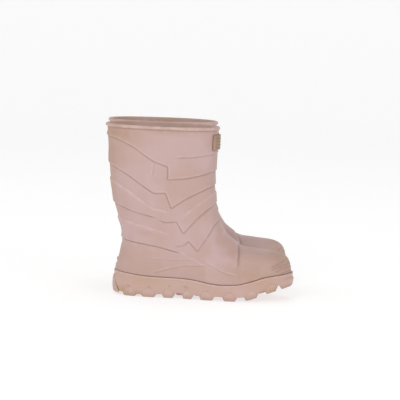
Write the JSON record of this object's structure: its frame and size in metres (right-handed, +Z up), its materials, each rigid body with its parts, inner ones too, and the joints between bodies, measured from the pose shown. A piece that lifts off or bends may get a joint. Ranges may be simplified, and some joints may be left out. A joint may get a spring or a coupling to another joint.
{
  "type": "pair of winter boots",
  "caption": "Pair of child's pull-on winter boots: moulded wrapped-band upper with a rim bead, lugged sole, heel bumper, front plate, pile lining and loose insoles.",
  "frame": {"origin": "on the ground in the middle of the pair, at the centre of its box", "axes": "+X from heels to toes, +Y to the wearer's left, +Z up"},
  "size_m": [0.2028, 0.1696, 0.1792],
  "materials": {
    "moulded_upper": "matte",
    "moulded_sole": "matte",
    "front_plate": "matte",
    "pile_lining": "matte",
    "woven_binding": "matte",
    "felt_insole": "matte"
  },
  "bodies": {
    "right_boot": {"right_shell": "moulded_upper", "right_outsole": "moulded_sole", "right_heel_bumper": "moulded_sole", "right_front_plate": "front_plate", "right_lining_binding": "woven_binding", "right_leg_lining": "pile_lining", "right_foot_lining": "pile_lining", "right_lining_sole": "pile_lining"},
    "right_insole": {"right_insole": "felt_insole"},
    "left_boot": {"left_shell": "moulded_upper", "left_outsole": "moulded_sole", "left_heel_bumper": "moulded_sole", "left_front_plate": "front_plate", "left_lining_binding": "woven_binding", "left_leg_lining": "pile_lining", "left_foot_lining": "pile_lining", "left_lining_sole": "pile_lining"},
    "left_insole": {"left_insole": "felt_insole"}
  },
  "joints": [
    {"name": "left_boot_lift", "type": "slide", "parent": "right_boot", "child": "left_boot", "axis": [0, 0, 1], "range_m": [0, 0.2]},
    {"name": "right_insole_lift", "type": "hinge", "parent": "right_boot", "child": "right_insole", "pos_m": [0.09118, -0.05528, 0.0279], "axis": [0.0958, 0.9954, 0], "range_deg": [0, 5]},
    {"name": "left_insole_lift", "type": "hinge", "parent": "left_boot", "child": "left_insole", "pos_m": [0.08968, 0.05528, 0.0279], "axis": [-0.0958, 0.9954, 0], "range_deg": [0, 5]}
  ]
}
